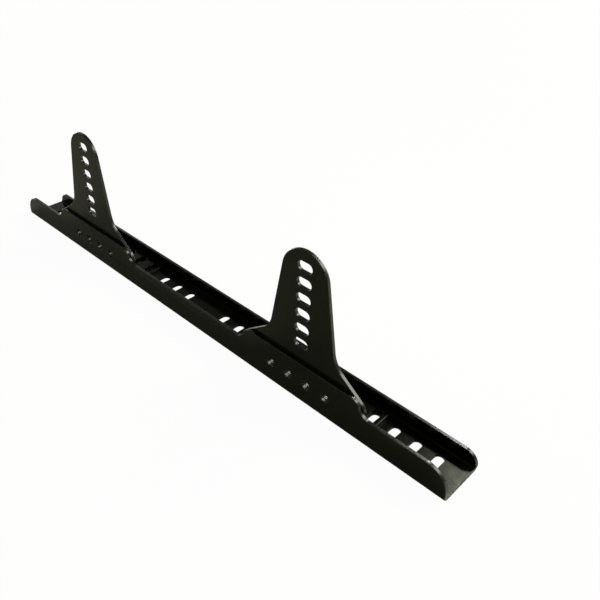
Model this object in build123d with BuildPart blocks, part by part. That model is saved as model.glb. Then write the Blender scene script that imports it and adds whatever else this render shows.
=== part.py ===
from build123d import *
import math
import os

os.makedirs("parts", exist_ok=True)

# Seat side mount: a folded channel rail that bolts to the car floor, and two
# folded brackets that stand in it and carry the side bolts of a seat.
# Millimetres. X runs along the rail, the outer side with the tabs faces -Y,
# Z is up, and the origin is the middle of the rail's underside.

# Sheet metal
sheet = 3.0
rail_bend_radius = 5.0
bracket_bend_radius = 6.0

# Pitch of the slots and bolt holes along the rail, and the middle of a slot row
pitch = 20.0
row_centre = 146.0

# Channel rail
rail_length = 580.0
rail_width = 45.0
outer_flange_height = 27.5
inner_flange_height = 15.0
outer_end_radius = 20.0
inner_end_radius = 12.0

# Floor slots: one row towards each end of the rail, with a plain stretch between
slots_per_row = 13
floor_slot_length = 24.0
floor_slot_width = 8.0

# Tabs on the outer flange, the rear one a little further out than its slot row
tab_height = 41.0
tab_top_width = 108.0
tab_foot_width = 146.0
rear_tab_shift = 3.0
front_centre = row_centre
rear_centre = -row_centre - rear_tab_shift

# Bolt holes through each tab and the bracket behind it
bolt_count = 4
bolt_hole_radius = 4.25
bolt_height = 22.5

# Brackets: they stand flush against the tabs, with a gap along the inner flange
bracket_height = 144.0
bracket_width = 135.5
foot_edge_gap = 2.0
top_radius = 23.0
shoulder_half_width = 34.5
shoulder_height = 57.0
shoulder_radius = 25.0
toe_height = 33.0
toe_radius = 14.0

# Seat bolt slots up the upright, and slots in the foot over the floor slots
seat_slot_count = 6
seat_slot_pitch = 14.3
seat_slot_top = 130.0
seat_slot_length = 14.5
seat_slot_width = 8.5
foot_slot_count = 7
foot_slot_length = 23.0
foot_slot_middle = 2.5

# Places that follow from the sizes above
upright_face = -rail_width / 2 + sheet
foot_edge = rail_width / 2 - sheet - foot_edge_gap
seat_slot_middle = seat_slot_top - (seat_slot_count - 1) * seat_slot_pitch / 2


def tab_outline():
    """A flat-topped tab whose sides run out in an S of two equal arcs."""
    rise = tab_height - outer_flange_height
    half_top = tab_top_width / 2
    half_foot = tab_foot_width / 2
    halfway = ((half_top + half_foot) / 2, rise / 2)
    with BuildSketch(mode=Mode.PRIVATE) as tab:
        with BuildLine():
            Line((0, rise), (half_top, rise))
            convex = TangentArc((half_top, rise), halfway, tangent=(1, 0))
            TangentArc(halfway, (half_foot, 0), tangent=convex % 1)
            Line((half_foot, 0), (0, 0))
            mirror(about=Plane.YZ)
        make_face()
    return tab.sketch


def upright_outline():
    """The upright: round top, tapered sides, sloping shoulders, rounded toes."""
    crown_height = bracket_height - top_radius
    side_rise = crown_height - shoulder_height
    side_reach = math.hypot(shoulder_half_width, side_rise)
    taper = math.atan2(shoulder_half_width, side_rise) - math.asin(top_radius / side_reach)
    side_top = (top_radius * math.cos(taper), crown_height + top_radius * math.sin(taper))
    with BuildSketch(mode=Mode.PRIVATE) as outline:
        with BuildLine():
            FilletPolyline(
                side_top,
                (shoulder_half_width, shoulder_height),
                (bracket_width / 2, toe_height),
                (bracket_width / 2, sheet + bracket_bend_radius),
                radius=[shoulder_radius, toe_radius],
            )
            Line((bracket_width / 2, sheet + bracket_bend_radius), (0, sheet + bracket_bend_radius))
            RadiusArc((0, bracket_height), side_top, top_radius)
            mirror(about=Plane.YZ)
        make_face()
    return outline.sketch


def make_bracket(centre):
    """An L-shaped bracket: a slotted foot and an upright, bent from one blank."""
    with BuildPart() as bracket:
        # Foot, bend and the straight lower edge of the upright
        with BuildSketch(Plane.YZ.offset(centre)):
            with BuildLine():
                FilletPolyline(
                    (upright_face, sheet + 2 * bracket_bend_radius),
                    (upright_face, sheet),
                    (foot_edge, sheet),
                    radius=bracket_bend_radius,
                )
                offset(amount=sheet, side=Side.LEFT)
            make_face()
        extrude(amount=bracket_width / 2, both=True)

        # Upright, with its bolt holes and the column of seat bolt slots
        with BuildSketch(Plane.XZ.offset(-upright_face)):
            with Locations((centre, 0)):
                add(upright_outline())
        extrude(amount=-sheet)
        with BuildSketch(Plane.XZ.offset(-upright_face)):
            with Locations((centre, bolt_height)):
                with GridLocations(pitch, 0, bolt_count, 1):
                    Circle(bolt_hole_radius)
            with Locations((centre, seat_slot_middle)):
                with GridLocations(0, seat_slot_pitch, 1, seat_slot_count):
                    SlotOverall(seat_slot_length, seat_slot_width)
        extrude(amount=-sheet, mode=Mode.SUBTRACT)

        # Slots across the foot
        with BuildSketch(Plane.XY.offset(sheet)):
            with Locations((centre, foot_slot_middle)):
                with GridLocations(pitch, 0, foot_slot_count, 1):
                    SlotOverall(foot_slot_length, floor_slot_width, rotation=90)
        extrude(amount=sheet, mode=Mode.SUBTRACT)
    return bracket


with BuildPart() as channel_rail:
    # Section: floor, high outer flange and low inner flange
    with BuildSketch(Plane.YZ):
        with BuildLine():
            FilletPolyline(
                (-rail_width / 2, outer_flange_height),
                (-rail_width / 2, 0),
                (rail_width / 2, 0),
                (rail_width / 2, inner_flange_height),
                radius=rail_bend_radius,
            )
            offset(amount=sheet, side=Side.LEFT)
        make_face()
    extrude(amount=rail_length / 2, both=True)

    # Flange ends rounded down towards the floor
    end_edges = channel_rail.edges().filter_by(Axis.Y).filter_by_position(
        Axis.Z, inner_flange_height - 1, outer_flange_height + 1
    )
    fillet(end_edges.sort_by(Axis.Y)[:2], radius=outer_end_radius)
    fillet(end_edges.sort_by(Axis.Y)[-2:], radius=inner_end_radius)

    # Two tabs on the outer flange, each with its bolt holes
    with BuildSketch(Plane.XZ.offset(rail_width / 2)):
        with Locations((rear_centre, outer_flange_height), (front_centre, outer_flange_height)):
            add(tab_outline())
    extrude(amount=-sheet)
    with BuildSketch(Plane.XZ.offset(rail_width / 2)):
        with Locations((rear_centre, bolt_height), (front_centre, bolt_height)):
            with GridLocations(pitch, 0, bolt_count, 1):
                Circle(bolt_hole_radius)
    extrude(amount=-sheet, mode=Mode.SUBTRACT)

    # Two rows of slots across the floor
    with BuildSketch(Plane.XY):
        with Locations((-row_centre, 0), (row_centre, 0)):
            with GridLocations(pitch, 0, slots_per_row, 1):
                SlotOverall(floor_slot_length, floor_slot_width, rotation=90)
    extrude(amount=sheet, mode=Mode.SUBTRACT)

channel_rail.part.label = "channel_rail"
export_step(channel_rail.part, "parts/channel_rail.step")

rear_upright_bracket = make_bracket(rear_centre)
rear_upright_bracket.part.label = "rear_upright_bracket"
export_step(rear_upright_bracket.part, "parts/rear_upright_bracket.step")

front_upright_bracket = make_bracket(front_centre)
front_upright_bracket.part.label = "front_upright_bracket"
export_step(front_upright_bracket.part, "parts/front_upright_bracket.step")
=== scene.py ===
import math

import bmesh
import bpy
import numpy as np
from mathutils import Matrix, Vector
from mathutils.bvhtree import BVHTree


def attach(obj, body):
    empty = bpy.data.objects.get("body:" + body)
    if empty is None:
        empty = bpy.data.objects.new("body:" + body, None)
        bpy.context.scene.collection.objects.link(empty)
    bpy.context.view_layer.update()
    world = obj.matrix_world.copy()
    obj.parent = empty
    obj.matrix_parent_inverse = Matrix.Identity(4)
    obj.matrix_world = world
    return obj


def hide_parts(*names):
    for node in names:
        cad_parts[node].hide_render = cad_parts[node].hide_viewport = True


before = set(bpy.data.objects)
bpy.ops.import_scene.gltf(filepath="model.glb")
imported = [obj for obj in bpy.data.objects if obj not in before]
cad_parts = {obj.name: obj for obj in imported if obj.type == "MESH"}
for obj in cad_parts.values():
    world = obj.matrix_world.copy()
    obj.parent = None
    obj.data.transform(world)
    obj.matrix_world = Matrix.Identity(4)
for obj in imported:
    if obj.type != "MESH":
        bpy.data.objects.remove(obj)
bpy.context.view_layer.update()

# Units: every length below is in metres unless its name ends in _mm
MM = 0.001

# The pressed sheet, and the round that the coat leaves on its sheared edges
sheet = 3 * MM
edge_round = 0.35 * MM
edge_steps = 3
sharp_angle = math.radians(35)

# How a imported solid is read: corners this close are one, faces this flat are one, and a face is a rolled one
# where the steel behind it, measured from just inside, is this near to one sheet
same_corner = 0.002 * MM
flat_angle = math.radians(0.6)
start_depth = 0.01 * MM
sheet_tolerance = 0.25 * MM

# Where the slots lie in the rail's floor and the brackets' feet, whose walls get the darker coat as painted
# shade: from side to side, and short of the ends
slot_reach = (-13 * MM, 15 * MM)
plain_end = 2 * MM

# The patterns' sizes, and the part of each noise that its pattern runs over. Real paper fibres are too fine
# to show, so they are drawn coarser.
mottle_mm = 55
mottle_span = (0.35, 0.68)
sheen_patch_mm = 9
sheen_span = (0.3, 0.7)
grain_mm = 0.9
grain_depth_mm = 0.012
paper_fibre_mm = 4

# The view of the photograph: where the camera stands and how it looks
picture = 600
sensor_mm = 36
camera_place = Vector((0.4121, -0.3284, 0.3976))
camera_azimuth = math.radians(44.867)
camera_elevation = math.radians(34.735)
camera_roll = math.radians(0.846)
focal_pixels = 672.35
centre_pixel = (264.17, 283.22)

# The floor, how much of plain white is seen and mirrored on it and on the sky, and the level of the dim room
floor_size = 30.0
seen_white_share = 0.97
mirrored_white_share = 0.02
sky_level = 0.045

# Each soft box: azimuth and elevation in degrees, distance, width and height, and power in watts
soft_boxes = {
    "strip_behind_low": (72, 5, 2.2, (2.4, 0.35), 8.0),
    "strip_behind": (72, 16, 2.2, (2.0, 0.35), 19.0),
    "box_behind": (90, 43, 2.0, (0.7, 0.7), 3.0),
    "box_behind_right": (47, 40, 2.0, (0.8, 0.8), 17.0),
    "box_near_front_end": (63.5, 47.3, 0.575, (0.07, 0.07), 0.75),
    "box_behind_left": (145, 36, 2.0, (1.0, 0.6), 0.5),
    "box_rear": (155, 27, 2.0, (0.3, 0.3), 0.5),
    "box_left": (180, 8, 2.0, (0.6, 0.4), 17.0),
    "box_above": (300, 75, 2.0, (0.6, 0.6), 4.6),
    "box_front": (270, 8, 2.0, (0.8, 0.4), 11.5),
}


def linear(code):
    """Turns an sRGB hex colour into the linear colour that a shader takes."""
    parts = [int(code[i:i + 2], 16) / 255 for i in (1, 3, 5)]
    return tuple(c / 12.92 if c <= 0.04045 else ((c + 0.055) / 1.055) ** 2.4 for c in parts) + (1.0,)


def add(tree, kind, settings=None, links=None, **values):
    """Adds one node: settings are its own fields, values its sockets by name, and links the outputs that feed
    its sockets, by name or number."""
    node = tree.nodes.new(kind)
    for field, value in (settings or {}).items():
        setattr(node, field, value)
    for socket, value in values.items():
        node.inputs[socket.replace("_", " ")].default_value = value
    for socket, source in (links or {}).items():
        tree.links.new(source, node.inputs[socket])
    return node


def new_material(name):
    """An empty node material and its node tree."""
    material = bpy.data.materials.new(name)
    material.use_nodes = True
    material.node_tree.nodes.clear()
    return material, material.node_tree


def coat_material(name, shade, tint, rough, grain_strength, specular, specular_tint):
    """A coat with three patterns: a cloudy tone from shade to tint, a patchy sheen between the two
    roughnesses, and the grain's bump."""
    material, tree = new_material(name)
    place = add(tree, "ShaderNodeTexCoord").outputs["Object"]
    mottle, patches, grain = (
        add(tree, "ShaderNodeTexNoise", links={"Vector": place}, Scale=1 / (size_mm * MM), Detail=detail)
        for size_mm, detail in ((mottle_mm, 3.0), (sheen_patch_mm, 4.0), (grain_mm, 2.0)))
    tone = add(tree, "ShaderNodeValToRGB", links={"Fac": mottle.outputs["Fac"]})
    for stop, position, code in zip(tone.color_ramp.elements, mottle_span, (shade, tint)):
        stop.position, stop.color = position, linear(code)
    roughness = add(tree, "ShaderNodeMapRange", links={"Value": patches.outputs["Fac"]},
                    From_Min=sheen_span[0], From_Max=sheen_span[1], To_Min=rough[0], To_Max=rough[1])
    peel = add(tree, "ShaderNodeBump", links={"Height": grain.outputs["Fac"]},
               Strength=grain_strength, Distance=grain_depth_mm * MM)
    coat = add(tree, "ShaderNodeBsdfPrincipled", IOR=1.5, Specular_IOR_Level=specular,
               Specular_Tint=linear(specular_tint),
               links={"Base Color": tone.outputs["Color"], "Roughness": roughness.outputs["Result"],
                      "Normal": peel.outputs["Normal"]})
    add(tree, "ShaderNodeOutputMaterial", links={"Surface": coat.outputs["BSDF"]})
    return material


def powder_coat():
    """Satin black polyester powder coat, sprayed dry and baked on pressed steel: a very dark olive grey with
    a weak, blurred sheen that wakes up at grazing angles, and a fine orange-peel grain left by the melted
    powder."""
    return coat_material("satin_black_powder_coat", shade="#090a04", tint="#0b0c05", rough=(0.21, 0.27),
                         grain_strength=0.35, specular=0.095, specular_tint="#f8ffda")


def thin_coat():
    """The same coat where it draws back from a sheared edge: thinner, nearly free of grain and shinier, so
    that it catches the light as a fine line."""
    return coat_material("thin_powder_coat_on_sheared_edge", shade="#0b0c06", tint="#0f100a",
                         rough=(0.24, 0.3), grain_strength=0.03, specular=0.55, specular_tint="#fcfff0")


def white_share(tree):
    """How much of plain white a ray sees: the camera and clear glass the background's full share, and a
    mirroring surface a small one, so that a dark coat still mirrors the shadow at its foot."""
    path = add(tree, "ShaderNodeLightPath").outputs
    seen = add(tree, "ShaderNodeMath", {"operation": "ADD"},
               links={0: path["Is Camera Ray"], 1: path["Is Transmission Ray"]})
    mirrored = add(tree, "ShaderNodeMath", {"operation": "MULTIPLY"}, links={0: path["Is Glossy Ray"]})
    mirrored.inputs[1].default_value = mirrored_white_share
    share = add(tree, "ShaderNodeMath", {"operation": "MULTIPLY_ADD", "use_clamp": True},
                links={0: seen.outputs[0], 2: mirrored.outputs[0]})
    share.inputs[1].default_value = seen_white_share
    return share.outputs[0]


def white_paper():
    """Matt background paper of a faint ivory, whose fibres scatter all light: mostly seen as plain white, and
    lit for the rest, so that it keeps a pale shadow and gives the coat's sheen its olive cast."""
    material, tree = new_material("matt_white_background_paper")
    place = add(tree, "ShaderNodeTexCoord").outputs["Object"]
    fibre = add(tree, "ShaderNodeTexNoise", links={"Vector": place}, Scale=1 / (paper_fibre_mm * MM),
                Detail=2.0)
    tone = add(tree, "ShaderNodeValToRGB", links={"Fac": fibre.outputs["Fac"]})
    for stop, code in zip(tone.color_ramp.elements, ("#f1f1d6", "#f6f6dc")):
        stop.color = linear(code)
    paper = add(tree, "ShaderNodeBsdfDiffuse", links={"Color": tone.outputs["Color"]})
    white = add(tree, "ShaderNodeEmission", Strength=1.0)
    mix = add(tree, "ShaderNodeMixShader",
              links={0: white_share(tree), 1: paper.outputs[0], 2: white.outputs[0]})
    add(tree, "ShaderNodeOutputMaterial", links={"Surface": mix.outputs[0]})
    return material


def keep_in_box(piece):
    """Applies the piece's modifiers and holds every point within the box that its plain solid fills, because
    the rounding pushes a few corner points out by some thousandths of a millimetre."""
    plain = np.array([v.co for v in piece.data.vertices])
    shaped = bpy.data.meshes.new_from_object(piece.evaluated_get(bpy.context.evaluated_depsgraph_get()))
    places = np.array([v.co for v in shaped.vertices])
    shaped.vertices.foreach_set("co", np.clip(places, plain.min(axis=0), plain.max(axis=0)).ravel())
    piece.modifiers.clear()
    piece.data = shaped


def darker_coat_as_shade_in_floor_slots(piece):
    """Gives the walls and rims of the slots in the piece's flat floor the darker, duller face coat in place of
    the edge coat, as painted shade that keeps these narrow slots dark. They are the faces within the lowest
    sheet and the slots' reach, away from the piece's ends."""
    faces = piece.data.polygons
    centres = np.empty(3 * len(faces), dtype=np.float32)
    faces.foreach_get("center", centres)
    x, y, z = centres.reshape(-1, 3).T
    coats = np.empty(len(faces), dtype=np.int32)
    faces.foreach_get("material_index", coats)
    in_floor = z <= z.min() + sheet
    off_ends = (x > x.min() + plain_end) & (x < x.max() - plain_end)
    # Painted shade: the slot walls and rims take the darker face coat so that they stay dark
    coats[in_floor & off_ends & (y > slot_reach[0]) & (y < slot_reach[1])] = 0
    faces.foreach_set("material_index", coats)


def coated_piece(node, coats):
    """The piece as it leaves the paint line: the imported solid's surface, its triangles joined and its flat
    ones merged, with each sheared edge turned to a small round where the melted powder draws back. A face is
    a rolled one where the steel straight behind it is one sheet thick, and otherwise it is a sheared wall."""
    work = bmesh.new()
    work.from_mesh(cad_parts[node].data)
    bmesh.ops.remove_doubles(work, verts=work.verts, dist=same_corner)
    work.normal_update()
    steel = BVHTree.FromBMesh(work)
    for face in work.faces:
        inside = face.calc_center_median() - face.normal * start_depth
        depth = steel.ray_cast(inside, -face.normal)[3]
        rolled = depth is not None and abs(depth + start_depth - sheet) < sheet_tolerance
        face.material_index = 0 if rolled else 1
    bmesh.ops.dissolve_limit(work, angle_limit=flat_angle, verts=work.verts, edges=work.edges,
                             delimit={"MATERIAL"})
    work.verts.index_update()
    mesh = bpy.data.meshes.new(node + "_coated")
    mesh.from_pydata([v.co for v in work.verts], [], [[v.index for v in f.verts] for f in work.faces])
    mesh.polygons.foreach_set("material_index", [f.material_index for f in work.faces])
    work.free()
    mesh.shade_smooth()
    for coat in coats:
        mesh.materials.append(coat)
    piece = bpy.data.objects.new(node + "_coated", mesh)
    bpy.context.scene.collection.objects.link(piece)
    rounding = piece.modifiers.new("edge_round", "BEVEL")
    rounding.width = edge_round
    rounding.segments = edge_steps
    rounding.limit_method = "ANGLE"
    rounding.angle_limit = sharp_angle
    rounding.use_clamp_overlap = False
    rounding.material = 1
    piece.modifiers.new("flat_faces_stay_flat", "WEIGHTED_NORMAL").mode = "FACE_AREA"
    keep_in_box(piece)
    # Painted shade: the floor slots get the darker, duller coat so that they stay dark
    darker_coat_as_shade_in_floor_slots(piece)
    return piece


def soft_box(name, azimuth, elevation, distance, size, power):
    """A flat lamp that looks at the part's origin: azimuth is counted in degrees from +X towards +Y."""
    turn, lift = math.radians(azimuth), math.radians(elevation)
    lamp = bpy.data.lights.new(name, "AREA")
    lamp.shape = "RECTANGLE"
    lamp.size, lamp.size_y = size
    lamp.energy = power
    stand = bpy.data.objects.new(name, lamp)
    bpy.context.scene.collection.objects.link(stand)
    away = Vector((math.cos(turn) * math.cos(lift), math.sin(turn) * math.cos(lift), math.sin(lift)))
    stand.location = away * distance
    stand.rotation_euler = away.to_track_quat("Z", "Y").to_euler()


def photo_camera():
    """The camera of the photograph: azimuth 0 looks along +Y, 90 along -X, and the elevation looks down."""
    lens = bpy.data.cameras.new("photo_camera")
    lens.sensor_fit = "HORIZONTAL"
    lens.sensor_width = sensor_mm
    lens.lens = focal_pixels * sensor_mm / picture
    lens.shift_x = (picture / 2 - centre_pixel[0]) / picture
    lens.shift_y = (centre_pixel[1] - picture / 2) / picture
    camera = bpy.data.objects.new("photo_camera", lens)
    bpy.context.scene.collection.objects.link(camera)
    turn = (Matrix.Rotation(camera_azimuth, 4, "Z")
            @ Matrix.Rotation(math.radians(90) - camera_elevation, 4, "X")
            @ Matrix.Rotation(camera_roll, 4, "Z"))
    camera.matrix_world = Matrix.Translation(camera_place) @ turn
    bpy.context.scene.camera = camera


# The part: each pressed piece with its coat
coats = powder_coat(), thin_coat()
slots = {
    "channel_rail": "rail_steel",
    "rear_upright_bracket": "bracket_steel",
    "front_upright_bracket": "bracket_steel",
}
for node, slot in slots.items():
    piece = coated_piece(node, coats)
    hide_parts(node)
    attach(piece, "root")

# The floor
half = floor_size / 2
floor_mesh = bpy.data.meshes.new("floor")
floor_mesh.from_pydata([(-half, -half, 0), (half, -half, 0), (half, half, 0), (-half, half, 0)], [],
                       [(0, 1, 2, 3)])
floor_mesh.materials.append(white_paper())
floor = bpy.data.objects.new("floor", floor_mesh)
bpy.context.scene.collection.objects.link(floor)

# The light: soft boxes all round, the strong ones behind, in a dim room that is seen as white as the floor
for name, setting in soft_boxes.items():
    soft_box(name, *setting)

world = bpy.data.worlds.new("studio")
bpy.context.scene.world = world
world.use_nodes = True
sky = world.node_tree
sky.nodes.clear()
level = add(sky, "ShaderNodeMapRange", links={"Value": white_share(sky)},
            From_Min=0.0, From_Max=seen_white_share, To_Min=sky_level, To_Max=seen_white_share)
backdrop = add(sky, "ShaderNodeBackground", links={"Strength": level.outputs["Result"]},
               Color=linear("#ffffff"))
add(sky, "ShaderNodeOutputWorld", links={"Surface": backdrop.outputs[0]})

photo_camera()
bpy.context.scene.view_settings.view_transform = "Standard"
